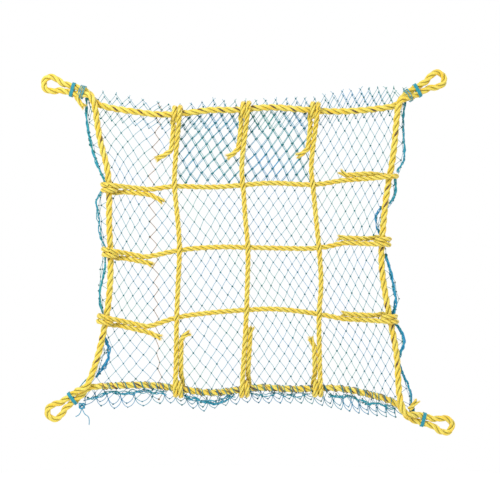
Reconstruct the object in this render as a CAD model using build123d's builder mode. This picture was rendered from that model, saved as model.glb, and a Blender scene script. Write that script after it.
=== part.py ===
from build123d import *
import math
import os

os.makedirs("parts", exist_ok=True)

# ---------------------------------------------------------------- driving dimensions, in mm
# x runs to the right and z up, both from the net's middle, until place() moves them to the part's
# own origin in the top left eye. y runs from the front of the net to its back.
BORDER_R = 6.0  # border rope, 12 mm, three strand
INNER_R = 4.8  # grid ropes, 10 mm nominal and worn thinner, three strand
TUCK = 2.5  # where grid ropes cross, each is this far from the middle of the other's lay
ROPE_GAP = 1.5  # room between the two rope ends at a fold, beyond the round end
RUN_SHARE = 0.45  # a bend takes this share of the shorter run beside it
LARGEST_BEND = 400.0

FOLDS = (148.0, 50.0, -70.0)  # heights of the three fold lines
STRIPS = ("head", "upper", "lower", "foot")  # the net's strips between the folds, from the top

# eye splices of the grid ropes round the border rope
WRAP = BORDER_R + INNER_R + 1.5  # the loop stands this far out from the border rope's middle
LEAVE = 34.0  # the standing rope leaves the net's plane this far short of the border rope
TURN = 12.0  # and is in front of the border rope this far short of it
BESIDE = 2 * INNER_R + 0.6  # the doubled back leg lies beside the standing rope
TAIL_BACK = 2.0

# corner eyes: a bight of border rope with its two legs seized side by side
FRONT_LEG_Y = -12.6
BACK_LEG_Y = 0.9
LEG_SIDE = BORDER_R + 0.15
LEG_TWIST = 5.1  # half the distance between the legs, across and in depth, half way round
LEG_MID_Y = -4.2
LEG_RUN = 13.0  # the legs change from front and back to side by side in two runs
THROAT = 46.0  # from the crossing of the legs to the eye's throat
EYE_REACH = 29.0  # from the throat to the middle of the eye
SEIZING_AT = 34.0
SEIZING_WIDTH = 7.0
SEIZING_WALL = 1.6
SEIZING_GAP = 0.2
STUB_R = 4.5

# netting and its lacing seam, behind the ropes
NET_FRONT = 7.8
NET_THICK = 0.8
FOLD_GAP = 9.0  # the netting stands this far back from each fold line
SEAM_X = -168.0
SEAM_WIDTH = 2.4
SEAM_GAP = 0.3
NOTCH_IN = 36.0
NOTCH_OUT = 45.0
NOTCH_SIDE = 8.0
NOTCH_LEG = 22.5

# corners: x and z of the crossing of the legs, and the angle at which the eye points
CORNERS = {
    "top_left": (-281.0, 276.0, 165.0),
    "top_right": (277.0, 267.0, 29.0),
    "bottom_left": (-287.0, -250.0, 217.0),
    "bottom_right": (284.0, -300.0, -15.0),
}


# ---------------------------------------------------------------- places
def corner_point(corner, reach, side, y):
    """A point of a corner, reach mm out from the crossing of its legs and side mm to the left of that line."""
    x, z, angle = CORNERS[corner]
    c = math.cos(math.radians(angle))
    s = math.sin(math.radians(angle))
    return (x + reach * c - side * s, y, z + reach * s + side * c)


ORIGIN = corner_point("top_left", THROAT + EYE_REACH, 0, 0)


def place(point):
    """Move a point from the net's middle to the part's origin."""
    return Vector(*point) - Vector(*ORIGIN)


def legs(corner, side, y):
    """The points of one leg of an eye, from the crossing to the throat."""
    twist_y = LEG_MID_Y + math.copysign(LEG_TWIST, y)
    return [
        corner_point(corner, 0, 0, y),
        corner_point(corner, LEG_RUN, side * LEG_TWIST, twist_y),
        corner_point(corner, 2 * LEG_RUN, side * LEG_SIDE, 0),
        corner_point(corner, THROAT, side * LEG_SIDE, 0),
    ]


def stopped_short(route, gap):
    """The route with its last point moved back by gap."""
    last = Vector(*route[-1])
    run = last - Vector(*route[-2])
    end = last - run.normalized() * gap
    return route[:-1] + [tuple(end)]


def bend_radii(route):
    """The radius at each inner point of a route, as large as its two runs allow."""
    radii = []
    for before, here, after in zip(route, route[1:], route[2:]):
        run_in = Vector(*here) - Vector(*before)
        run_out = Vector(*after) - Vector(*here)
        turn = math.radians(run_in.get_angle(run_out))
        shorter = min(run_in.length, run_out.length)
        radii.append(min(LARGEST_BEND, RUN_SHARE * shorter / math.tan(turn / 2)))
    return radii


# ---------------------------------------------------------------- pieces
def finish(piece, label):
    """Name a finished piece and write it."""
    piece.part.label = label
    export_step(piece.part, f"parts/{label}.step")


def rope(label, route, radius, round_end=None):
    """A stretch of rope along straight runs joined by tangent arcs, with an optional round end."""
    radii = bend_radii(route)
    points = [place(p) for p in route]
    with BuildPart() as piece:
        with BuildLine() as path:
            if radii:
                FilletPolyline(*points, radius=radii)
            else:
                Line(*points)
        with BuildSketch(Plane(origin=path.line @ 0, z_dir=path.line % 0)):
            Circle(radius)
        sweep()
        if round_end:
            with Locations(place(round_end)):
                Sphere(radius)
    length = sum(edge.length for edge in path.edges())
    share = piece.part.volume / (math.pi * radius**2 * length)
    least = min(radii, default=0)
    print(f"{label}: {length:.0f} mm long, volume {share:.3f} of section by length, tightest bend {least:.1f} mm")
    finish(piece, label)


def strip_rope(name, strip, route, radius):
    """One strip's stretch of a rope that runs down the net: a round end on the fold above it, and cut short
    of the fold below it."""
    first, last = strip == STRIPS[0], strip == STRIPS[-1]
    fitted = route if last else stopped_short(route, radius + ROPE_GAP)
    rope(f"{name}_{strip}", fitted, radius, None if first else route[0])


def standing_end(border, inner):
    """Where a grid rope comes up to the border rope and passes in front of it."""
    b = Vector(border[0], 0, border[1])
    out = (b - Vector(inner[0], 0, inner[1])).normalized()
    leave = b - out * LEAVE
    turn = b - out * TURN
    return [(leave.X, 0, leave.Z), (turn.X, -WRAP, turn.Z), (b.X, -WRAP, b.Z)]


def border_run(x, z):
    """The direction of the border rope's run nearest to a point of the net's plane."""
    runs = [run for route in BORDER_ROUTES for run in zip(route, route[1:])]
    middles = [((a[0] + b[0]) / 2, (a[2] + b[2]) / 2) for a, b in runs]
    far = [math.dist((x, z), middle) for middle in middles]
    one, other = runs[far.index(min(far))]
    return Vector(other[0] - one[0], 0, other[2] - one[2]).normalized()


def splice(label, border, inner, side, length, tail, second_turn=False):
    """A grid rope's end: one or two turns round the border rope, doubled back beside its own standing part, and
    a cut tail that goes tail[0] further on and tail[1] out to the side."""
    b = Vector(border[0], 0, border[1])
    out = (b - Vector(inner[0], 0, inner[1])).normalized()
    across = Vector(-out.Z, 0, out.X) * side
    y = Vector(0, 1, 0)
    route = [b - y * WRAP, b + out * WRAP - y * WRAP, b + out * WRAP + y * WRAP]
    if second_turn:
        run = border_run(*border)
        along = run * math.copysign(BESIDE, run.dot(across))
        route += [
            b - out * WRAP + along * 0.45 + y * WRAP,
            b - out * WRAP + along * 1.05 - y * WRAP,
            b + out * WRAP + along * 1.15 - y * WRAP,
            b + out * WRAP + along * 1.4 + y * WRAP,
            b - out * TURN + along * 1.6 + y * WRAP,
        ]
    else:
        route.append(b - out * TURN + across * BESIDE / 2 + y * WRAP)
    route += [
        b - out * (LEAVE + 2) + across * BESIDE,
        b - out * length + across * BESIDE,
        b - out * (length + tail[0]) + across * (BESIDE + tail[1]) - y * TAIL_BACK,
    ]
    rope(label, [tuple(p) for p in route], INNER_R)


def seizing(corner):
    """Turns of netting twine that bind the two legs of a corner eye."""
    middle = place(corner_point(corner, SEIZING_AT, 0, 0))
    throat = place(corner_point(corner, THROAT, 0, 0))
    side = place(corner_point(corner, SEIZING_AT, 1, 0))
    plane = Plane(origin=middle, x_dir=side - middle, z_dir=throat - middle)
    inner_r = BORDER_R + SEIZING_GAP
    outer_r = inner_r + SEIZING_WALL
    with BuildPart() as piece:
        with BuildSketch(plane):
            SlotCenterToCenter(2 * LEG_SIDE, 2 * outer_r)
            SlotCenterToCenter(2 * LEG_SIDE, 2 * inner_r, mode=Mode.SUBTRACT)
        extrude(amount=SEIZING_WIDTH / 2, both=True)
    finish(piece, f"{corner}_seizing")


def eye(corner):
    """The bight of border rope that makes a corner eye, from one leg at the throat round to the other."""
    reach_and_side = [(0, LEG_SIDE), (9, LEG_SIDE), (26, 14.0), (41, 9.5)]
    half = [corner_point(corner, THROAT + r, s, 0) for r, s in reach_and_side]
    other = [corner_point(corner, THROAT + r, -s, 0) for r, s in reversed(reach_and_side)]
    route = half + other
    radii = bend_radii(route)
    points = [place(p) for p in route]
    with BuildPart() as piece:
        with BuildLine() as path:
            FilletPolyline(*points, radius=radii)
        with BuildSketch(Plane(origin=path.line @ 0, z_dir=path.line % 0)):
            Circle(BORDER_R)
        sweep()
        if corner.startswith("bottom"):
            with Locations(points[0], points[-1]):
                Sphere(BORDER_R)
    length = sum(edge.length for edge in path.edges())
    print(f"{corner}_eye: {length:.0f} mm long, bends {[round(r) for r in radii]}")
    finish(piece, f"{corner}_eye")


def netting(label, outline, notches):
    """A stretch of knotted netting as a thin sheet, notched where splices pass through it."""
    corner_points = [place((x, 0, z)) for x, z in outline]
    flat = [(p.X, -p.Z) for p in corner_points]
    back = Plane.XZ.offset(-NET_FRONT - NET_THICK)
    with BuildPart() as piece:
        with BuildSketch(back):
            Polygon(*[(x, -minus_z) for x, minus_z in flat], align=None)
        extrude(amount=NET_THICK)
        for border, inner, side in notches:
            b = Vector(border[0], 0, border[1])
            out = (b - Vector(inner[0], 0, inner[1])).normalized()
            across = Vector(-out.Z, 0, out.X) * side
            middle = b + out * (NOTCH_OUT - NOTCH_IN) / 2 + across * (NOTCH_LEG - NOTCH_SIDE) / 2
            spot = place(tuple(middle))
            with Locations(Plane(origin=spot, x_dir=out, z_dir=(0, 1, 0))):
                Box(NOTCH_IN + NOTCH_OUT, NOTCH_SIDE + NOTCH_LEG, 30, mode=Mode.SUBTRACT)
    finish(piece, label)


# ---------------------------------------------------------------- border rope, as (x, y, z)
TOP_LEFT_BEND = (-271.0, BACK_LEG_Y, 256.0)
TOP_RIGHT_BEND = (270.0, BACK_LEG_Y, 255.0)
top_middle = [
    (-200.0, 0.0, 245.0),
    (-155.0, 0.0, 239.0),
    (-105.0, 0.0, 243.0),
    (-62.0, 0.0, 249.5),
    (-20.0, 0.0, 247.5),
    (40.0, 0.0, 254.5),
    (90.0, 0.0, 250.0),
    (150.0, 0.0, 245.0),
    (205.0, 0.0, 247.0),
]
top_route = legs("top_left", -1, BACK_LEG_Y)[::-1] + [TOP_LEFT_BEND] + top_middle
top_route += [TOP_RIGHT_BEND] + legs("top_right", 1, BACK_LEG_Y)
rope("top_border_rope", top_route, BORDER_R)

bottom_middle = [
    (-240.0, 0.0, -248.0),
    (-200.0, 0.0, -246.0),
    (-160.0, 0.0, -247.5),
    (-110.0, 0.0, -255.5),
    (-62.0, 0.0, -262.0),
    (-15.0, 0.0, -255.0),
    (30.0, 0.0, -250.0),
    (75.0, 0.0, -254.5),
    (120.0, 0.0, -252.5),
    (165.0, 0.0, -251.5),
    (215.0, 0.0, -261.5),
    (271.0, BACK_LEG_Y, -278.0),
]
bottom_route = legs("bottom_left", 1, BACK_LEG_Y)[::-1] + bottom_middle
bottom_route += legs("bottom_right", -1, BACK_LEG_Y)
throat_gap = BORDER_R + ROPE_GAP
bottom_route = stopped_short(stopped_short(bottom_route, throat_gap)[::-1], throat_gap)[::-1]
rope("bottom_border_rope", bottom_route, BORDER_R)

left_routes = (
    legs("top_left", 1, FRONT_LEG_Y)[::-1]
    + [(-272.0, FRONT_LEG_Y, 254.0), (-269.5, -4.0, 224.0), (-262.5, 0.0, 184.0), (-251.5, 0.0, FOLDS[0])],
    [(-251.5, 0.0, FOLDS[0]), (-247.5, 0.0, 100.0), (-248.5, 0.0, FOLDS[1])],
    [(-248.5, 0.0, FOLDS[1]), (-245.5, 0.0, -10.0), (-246.0, 0.0, FOLDS[2])],
    [(-246.0, 0.0, FOLDS[2]), (-252.5, 0.0, -125.0), (-265.5, 0.0, -185.0), (-277.0, -5.0, -224.0)]
    + stopped_short(legs("bottom_left", -1, FRONT_LEG_Y), throat_gap),
)
right_routes = (
    legs("top_right", -1, FRONT_LEG_Y)[::-1]
    + [(270.0, FRONT_LEG_Y, 252.0), (268.0, -4.0, 222.0), (265.5, 0.0, 185.0), (260.5, 0.0, FOLDS[0])],
    [(260.5, 0.0, FOLDS[0]), (251.0, 0.0, 98.0), (246.0, 0.0, FOLDS[1])],
    [(246.0, 0.0, FOLDS[1]), (240.5, 0.0, -18.0), (246.5, 0.0, FOLDS[2])],
    [(246.5, 0.0, FOLDS[2]), (257.5, 0.0, -130.0), (270.0, 0.0, -190.0), (271.5, -5.0, -236.0)]
    + [(273.0, FRONT_LEG_Y, -272.0)]
    + stopped_short(legs("bottom_right", 1, FRONT_LEG_Y), throat_gap),
)
for strip, left, right in zip(STRIPS, left_routes, right_routes):
    strip_rope("left_border_rope", strip, left, BORDER_R)
    strip_rope("right_border_rope", strip, right, BORDER_R)

BORDER_ROUTES = (top_route, bottom_route, *left_routes, *right_routes)

for name in CORNERS:
    eye(name)
    seizing(name)

rope(
    "top_left_rope_stub",
    [corner_point("top_left", 20.0, 17.0, -6.0), corner_point("top_left", 6.0, 24.0, -7.0)],
    STUB_R,
)
rope(
    "bottom_right_rope_stub",
    [corner_point("bottom_right", 7.0, 19.0, -7.0), corner_point("bottom_right", 13.0, 30.0, -8.0)],
    STUB_R,
)

# ---------------------------------------------------------------- grid ropes, as (x, z) points
# uprights: top on the border rope, crossings of the three cross ropes, folds between them, foot
UPRIGHTS = {
    "left_upright": {
        "top": (-121.0, 241.5),
        "folds": (-130.0, -124.5, -124.5),
        "crossings": ((-131.0, 112.5), (-120.5, -2.5), (-126.5, -124.0)),
        "foot": (-128.5, -253.0),
        "top_leg": (1, 70.0, (15.0, 24.0)),
        "foot_leg": (1, 92.0, (9.0, 13.0)),
    },
    "middle_upright": {
        "top": (2.0, 249.5),
        "folds": (-10.5, -3.0, 0.5),
        "crossings": ((-7.0, 113.5), (2.5, 1.0), (-0.5, -111.5)),
        "foot": (-9.0, -254.0),
        "top_leg": (1, 76.0, (14.0, 16.0)),
        "foot_leg": (1, 104.0, (7.0, 1.0)),
    },
    "right_upright": {
        "top": (127.0, 247.5),
        "folds": (114.5, 124.5, 134.5),
        "crossings": ((118.5, 112.5), (130.0, -1.5), (128.5, -118.5)),
        "foot": (132.0, -252.5),
        "top_leg": (1, 74.0, (12.0, 16.0)),
        "foot_leg": (-1, 78.0, (12.0, 7.0)),
    },
}
# cross ropes: both ends on the border rope, the dip or rise beside each end, the middle of each stretch
# between uprights, and the doubled legs
CROSS_ROPES = {
    "upper_cross_rope": {
        "left": (-248.0, 113.0),
        "left_dip": (-172.0, 105.0),
        "middles": ((-65.0, 108.5), (45.0, 118.0)),
        "right_dip": (170.0, 121.5),
        "right": (257.0, 128.0),
        "left_leg": (1, 77.0, (22.0, 10.0)),
        "right_leg": (1, 80.0, (8.0, 6.0)),
    },
    "middle_cross_rope": {
        "left": (-246.5, -4.0),
        "left_dip": (-180.0, -17.0),
        "middles": ((-50.0, 2.5), (60.0, -0.5)),
        "right_dip": (174.0, 9.5),
        "right": (243.5, 6.5),
        "left_leg": (1, 72.0, (7.0, 2.0)),
        "right_leg": (1, 68.0, (10.0, -0.5)),
    },
    "lower_cross_rope": {
        "left": (-254.5, -124.5),
        "left_dip": (-183.0, -141.0),
        "middles": ((-65.0, -116.0), (52.0, -108.5)),
        "right_dip": (172.0, -127.5),
        "right": (257.5, -132.0),
        "left_leg": (1, 84.0, (20.0, 5.0)),
        "right_leg": (1, 78.0, (8.0, 1.0)),
    },
}

for name, data in UPRIGHTS.items():
    pivots = [(x, 0.0, z) for x, z in zip(data["folds"], FOLDS)]
    tucks = [(x, -TUCK, z) for x, z in data["crossings"]]
    routes = (
        standing_end(data["top"], (data["folds"][0], FOLDS[0]))[::-1] + [pivots[0]],
        [pivots[0], tucks[0], pivots[1]],
        [pivots[1], tucks[1], pivots[2]],
        [pivots[2], tucks[2]] + standing_end(data["foot"], data["crossings"][2]),
    )
    for strip, route in zip(STRIPS, routes):
        strip_rope(name, strip, route, INNER_R)
    splice(f"{name}_top_splice", data["top"], (data["folds"][0], FOLDS[0]), *data["top_leg"], True)
    splice(f"{name}_foot_splice", data["foot"], data["crossings"][2], *data["foot_leg"], True)

for row, (name, data) in enumerate(CROSS_ROPES.items()):
    crossed = [UPRIGHTS[upright]["crossings"][row] for upright in UPRIGHTS]
    tucked = [(x, TUCK, z) for x, z in crossed]
    middles = [(x, 0.0, z) for x, z in data["middles"]]
    route = standing_end(data["left"], data["left_dip"])[::-1]
    route += [(data["left_dip"][0], 0.0, data["left_dip"][1])]
    route += [tucked[0], middles[0], tucked[1], middles[1], tucked[2]]
    route += [(data["right_dip"][0], 0.0, data["right_dip"][1])]
    route += standing_end(data["right"], data["right_dip"])
    rope(name, route, INNER_R)
    splice(f"{name}_left_splice", data["left"], data["left_dip"], *data["left_leg"], True)
    clear_of_fold = abs(data["right"][1] - FOLDS[0]) > 40  # a second turn would reach a fold nearer than this
    splice(f"{name}_right_splice", data["right"], data["right_dip"], *data["right_leg"], clear_of_fold)

# ---------------------------------------------------------------- netting and seam
loops = {strip: [] for strip in STRIPS}
for data in UPRIGHTS.values():
    loops["head"].append((data["top"], (data["folds"][0], FOLDS[0]), data["top_leg"][0]))
    loops["foot"].append((data["foot"], data["crossings"][2], data["foot_leg"][0]))
for strip, data in zip(STRIPS[1:], CROSS_ROPES.values()):
    loops[strip].append((data["left"], data["left_dip"], data["left_leg"][0]))
    loops[strip].append((data["right"], data["right_dip"], data["right_leg"][0]))

seam_left = SEAM_X - SEAM_WIDTH / 2 - SEAM_GAP
seam_right = SEAM_X + SEAM_WIDTH / 2 + SEAM_GAP
seam_tops = (262.0, FOLDS[0] - FOLD_GAP, FOLDS[1] - FOLD_GAP, FOLDS[2] - FOLD_GAP)
seam_feet = (FOLDS[0] + FOLD_GAP, FOLDS[1] + FOLD_GAP, FOLDS[2] + FOLD_GAP, -268.0)
left_edges = (
    [(-262.0, 276.0), (-280.0, 256.0), (-284.0, 215.0), (-274.0, 178.0)],
    [(-266.0, 110.0)],
    [(-263.0, -10.0)],
    [(-256.0, -125.0), (-268.0, -185.0), (-290.0, -240.0), (-286.0, -276.0), (-240.0, -274.0)],
)
right_edges = (
    [(60.0, 264.0), (150.0, 276.0), (250.0, 286.0), (288.0, 262.0), (284.0, 215.0)],
    [(272.0, 110.0)],
    [(262.0, -20.0)],
    [(274.0, -130.0), (300.0, -220.0), (305.0, -280.0), (265.0, -292.0), (120.0, -274.0)],
)
left_tops = (-268.0, -264.0, -263.0, -256.0)
right_tops = (60.0, 282.0, 266.0, 264.0)
left_feet = (-268.0, -263.0, -258.0, -240.0)
right_feet = (283.0, 264.0, 262.0, 120.0)

for i, strip in enumerate(STRIPS):
    top, foot = seam_tops[i], seam_feet[i]
    left_outline = [(seam_left, foot), (seam_left, top)]
    right_outline = [(seam_right, foot), (seam_right, top)]
    if strip != STRIPS[0]:
        left_outline.append((left_tops[i], top))
        right_outline.append((right_tops[i], top))
    left_outline += left_edges[i]
    right_outline += right_edges[i]
    if strip != STRIPS[-1]:
        left_outline.append((left_feet[i], foot))
        right_outline.append((right_feet[i], foot))
    netting(f"left_netting_{strip}", left_outline, loops[strip])
    netting(f"right_netting_{strip}", right_outline, loops[strip])

    seam_middle = place((SEAM_X, NET_FRONT + NET_THICK / 2, (top + foot) / 2))
    with BuildPart() as seam:
        with Locations(seam_middle):
            Box(SEAM_WIDTH, NET_THICK, top - foot)
    finish(seam, f"netting_seam_{strip}")
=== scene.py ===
import math

import bpy
import numpy as np
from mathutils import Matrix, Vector


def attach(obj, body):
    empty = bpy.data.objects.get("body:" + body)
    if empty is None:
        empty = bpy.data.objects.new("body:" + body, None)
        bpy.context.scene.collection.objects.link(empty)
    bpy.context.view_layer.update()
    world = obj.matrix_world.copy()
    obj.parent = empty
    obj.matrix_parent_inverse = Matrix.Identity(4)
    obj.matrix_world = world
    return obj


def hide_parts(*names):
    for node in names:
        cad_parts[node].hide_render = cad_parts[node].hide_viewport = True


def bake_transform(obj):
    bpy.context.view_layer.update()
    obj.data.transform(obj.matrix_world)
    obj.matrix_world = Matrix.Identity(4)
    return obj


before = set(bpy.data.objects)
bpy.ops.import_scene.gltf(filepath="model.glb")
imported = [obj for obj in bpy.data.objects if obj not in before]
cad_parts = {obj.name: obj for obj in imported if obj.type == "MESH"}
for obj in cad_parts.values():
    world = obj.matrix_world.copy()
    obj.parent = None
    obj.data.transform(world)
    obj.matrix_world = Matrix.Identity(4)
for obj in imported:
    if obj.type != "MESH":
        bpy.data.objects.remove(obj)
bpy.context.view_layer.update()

# ---------------- driving dimensions
# The tables below are in mm, x to the right and z up from the net's middle, y from front to back.
# place() turns them into metres in the row's frame, whose origin is in the top left eye.
MM = 0.001
BORDER_R = 6.0
INNER_R = 4.8
TUCK = 2.5  # where grid ropes cross, they pass this far before and behind the net's plane
WRAP = BORDER_R + INNER_R + 1.0  # a splice's turns run this far out from the border rope's middle
LEAVE = 34.0  # a grid rope leaves the net's plane this far short of the border rope
TURN = 12.0  # and is clear in front of it here
BESIDE = 2 * INNER_R - 0.7  # a doubled end lies this far beside its standing part
TAIL_BACK = 2.0  # a cut tail's tip stands this far forward
STRAIGHTEN = 14.0  # a grid rope's end keeps straight until this near to its first bend
FRONT_LEG_Y = -12.6  # where the two runs of the border rope cross at a corner
BACK_LEG_Y = 0.9
LEG_SIDE = BORDER_R + 0.15  # an eye's legs are this far either side of its line at the throat
LEG_TWIST = 5.1
LEG_MID_Y = -4.2
LEG_RUN = 13.0
THROAT = 46.0
EYE_REACH = 29.0
EYE_TIP = 41.0
EYE_BOW = ((9.0, LEG_SIDE), (26.0, 14.0), (EYE_TIP, 9.5))  # reach from the throat, and side
SEIZING_FROM = 31.0
SEIZING_LENGTH = 6.0
SEIZING_TURNS = 6
STUB_R = 4.5

FOLDS = (148.0, 50.0, -70.0)  # heights of the fold lines
CUTS = (105.0, 0.0)  # heights where what crosses several folds is cut, one fold to each stretch
JOINED = (("head", "upper"), ("upper", "lower"), ("lower", "foot"))
STRETCHES = ("top", "middle", "bottom")

CORNERS = {  # where an eye's legs cross, and the angle of its line
    "top_left": (-281.0, 276.0, 165.0),
    "top_right": (277.0, 267.0, 29.0),
    "bottom_left": (-287.0, -250.0, 217.0),
    "bottom_right": (284.0, -300.0, -15.0),
}

random = np.random.default_rng(11)


# ---------------- places and lines
def corner_out(corner):
    """The direction out along a corner eye's line."""
    angle = math.radians(CORNERS[corner][2])
    return (math.cos(angle), 0, math.sin(angle))


def corner_point(corner, reach, side, y):
    """A point of a corner: reach mm out from its legs' crossing, and side mm to the left of that line."""
    x, z, _ = CORNERS[corner]
    c, _, s = corner_out(corner)
    return (x + reach * c - side * s, y, z + reach * s + side * c)


ORIGIN = np.array(corner_point("top_left", THROAT + EYE_REACH, 0, 0))


def place(points):
    """Points in mm from the net's middle, in metres in the row's frame."""
    return (np.asarray(points, float) - ORIGIN) * MM


def add_object(name, data):
    made = bpy.data.objects.new(name, data)
    bpy.context.scene.collection.objects.link(made)
    return made


def unit(vectors):
    return vectors / np.linalg.norm(vectors, axis=-1, keepdims=True)


def smooth_line(route, step):
    """Even steps along the NURBS line that a route in mm sets, as points in mm."""
    curve = bpy.data.curves.new("route", "CURVE")
    curve.dimensions = "3D"
    curve.resolution_u = 32
    spline = curve.splines.new("NURBS")
    spline.points.add(len(route) - 1)
    for control, point in zip(spline.points, route):
        control.co = (*point, 1)
    spline.order_u = 3
    spline.use_endpoint_u = True
    holder = bpy.data.objects.new("route", curve)
    line = bpy.data.meshes.new_from_object(holder)
    points = np.array([v.co for v in line.vertices], float)
    bpy.data.objects.remove(holder)
    bpy.data.curves.remove(curve)
    bpy.data.meshes.remove(line)
    return even_steps(points, step)


def lengths(points):
    """How far along a line each of its points is."""
    return np.concatenate([[0], np.cumsum(np.linalg.norm(np.diff(points, axis=0), axis=1))])


def round_angles(sides):
    return np.arange(sides) * 2 * math.pi / sides


def even_steps(points, step):
    """The same line cut into even steps of about step."""
    along = lengths(points)
    count = max(2, int(round(along[-1] / step)) + 1)
    wanted = np.linspace(0, along[-1], count)
    return np.stack([np.interp(wanted, along, points[:, axis]) for axis in range(3)], axis=1)


def steady_normals(points):
    """Normals along a line that turn as little as they can."""
    tangents = unit(np.gradient(points, axis=0))
    first = np.cross(tangents[0], (0.3, 1.0, 0.2))
    normals = [first / np.linalg.norm(first)]
    for i in range(len(points) - 1):
        step = points[i + 1] - points[i]
        square = step @ step
        normal = normals[-1] - 2 / square * (step @ normals[-1]) * step
        tangent = tangents[i] - 2 / square * (step @ tangents[i]) * step
        change = tangents[i + 1] - tangent
        square = change @ change
        if square > 1e-18:
            normal = normal - 2 / square * (change @ normal) * change
        normals.append(normal / np.linalg.norm(normal))
    return tangents, np.array(normals)


# ---------------- meshes
class Builder:
    """Gathers tubes and caps, in mm, with a value of each named attribute at every point."""

    def __init__(self):
        self.points = []
        self.quads = []
        self.fans = []
        self.values = {}
        self.total = 0

    def add_points(self, points, values):
        for name, value in values.items():
            self.values.setdefault(name, []).append(value)
        self.points.append(points)
        first = self.total
        self.total += len(points)
        return first

    def tube(self, rings, values, loop=False):
        """A skin over rings of points, as an array of rings by points by 3."""
        count, sides = rings.shape[:2]
        flat = {name: value.reshape(count * sides, *value.shape[2:]) for name, value in values.items()}
        first = self.add_points(rings.reshape(-1, 3), flat)
        index = np.arange(count * sides).reshape(count, sides) + first
        if loop:
            index = np.vstack([index, index[:1]])
        here, further = index[:-1], index[1:]
        quads = np.stack([here, np.roll(here, -1, 1), np.roll(further, -1, 1), further], axis=-1)
        self.quads.append(quads.reshape(-1, 4))

    def cap(self, ring, values, facing_on):
        """A fan that closes a ring, with points of its own so that the tube beside it stays smooth."""
        points = np.vstack([ring, ring.mean(axis=0)])
        with_middle = {name: np.concatenate([v, v.mean(axis=0, keepdims=True)]) for name, v in values.items()}
        first = self.add_points(points, with_middle)
        sides = len(ring)
        here = np.arange(sides) + first
        after = np.roll(here, -1)
        middle = np.full(sides, first + sides)
        order = [here, after, middle] if facing_on else [after, here, middle]
        self.fans.append(np.stack(order, axis=-1))

    def build(self, name, material):
        mesh = bpy.data.meshes.new(name)
        faces = np.concatenate(self.quads).tolist()
        if self.fans:
            faces += np.concatenate(self.fans).tolist()
        mesh.from_pydata(place(np.concatenate(self.points)), [], faces)
        for label, values in self.values.items():
            data = np.concatenate(values).astype(np.float32)
            kind = "FLOAT_VECTOR" if data.ndim == 2 else "FLOAT"
            field = "vector" if data.ndim == 2 else "value"
            attribute = mesh.attributes.new(label, kind, "POINT")
            attribute.data.foreach_set(field, data.ravel())
        mesh.shade_smooth()
        mesh.materials.append(material)
        return add_object(name, mesh)


# ---------------- materials
class Shading:
    """A material and its nodes. What goes into a socket is a number, a colour or another node's output."""

    def __init__(self, name):
        self.material = bpy.data.materials.new(name)
        self.material.use_nodes = True
        self.nodes = self.material.node_tree.nodes
        self.inputs = self.nodes["Principled BSDF"].inputs

    def put(self, socket, value):
        if isinstance(value, (int, float)):
            socket.default_value = value
        elif isinstance(value, tuple):
            socket.default_value = (*value, 1)
        else:
            self.material.node_tree.links.new(value, socket)

    def attribute(self, name, output="Fac"):
        node = self.nodes.new("ShaderNodeAttribute")
        node.attribute_name = name
        return node.outputs[output]

    def sum(self, operation, *inputs):
        node = self.nodes.new("ShaderNodeMath")
        node.operation = operation
        for socket, value in zip(node.inputs, inputs):
            self.put(socket, value)
        return node.outputs[0]

    def ramp(self, factor, *stops):
        """From the first stop's colour to the second's. A stop is a place and a colour or a grey."""
        node = self.nodes.new("ShaderNodeValToRGB")
        self.put(node.inputs[0], factor)
        for element, (position, colour) in zip(node.color_ramp.elements, stops):
            element.position = position
            element.color = (*colour, 1) if isinstance(colour, tuple) else (colour, colour, colour, 1)
        return node.outputs[0]

    def noise(self, vector, stretch, scale, detail):
        mapping = self.nodes.new("ShaderNodeMapping")
        mapping.inputs["Scale"].default_value = stretch
        self.put(mapping.inputs["Vector"], vector)
        noise = self.nodes.new("ShaderNodeTexNoise")
        noise.inputs["Scale"].default_value = scale
        noise.inputs["Detail"].default_value = detail
        self.put(noise.inputs["Vector"], mapping.outputs[0])
        return noise.outputs["Fac"]

    def mix(self, kind, factor, first, second):
        node = self.nodes.new("ShaderNodeMix")
        node.data_type = "RGBA"
        node.blend_type = kind
        for number, value in ((0, factor), (6, first), (7, second)):
            self.put(node.inputs[number], value)
        return node.outputs[2]

    def bump(self, height, distance, strength, normal=None):
        node = self.nodes.new("ShaderNodeBump")
        node.inputs["Distance"].default_value = distance
        node.inputs["Strength"].default_value = strength
        self.put(node.inputs["Height"], height)
        if normal:
            self.put(node.inputs["Normal"], normal)
        return node.outputs[0]

    def yarn_wave(self, fibre, yarns):
        """A wave across the yarns of a strand, from the sine and cosine round it."""
        split = self.nodes.new("ShaderNodeSeparateXYZ")
        self.put(split.inputs[0], fibre)
        angle = self.sum("ARCTAN2", split.outputs[1], split.outputs[0])
        return self.sum("COSINE", self.sum("MULTIPLY", angle, yarns))

    def finish(self, **values):
        """Fill the shader's inputs, named with _ for a space."""
        for name, value in values.items():
            self.put(self.inputs[name.replace("_", " ")], value)
        return self.material


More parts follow.
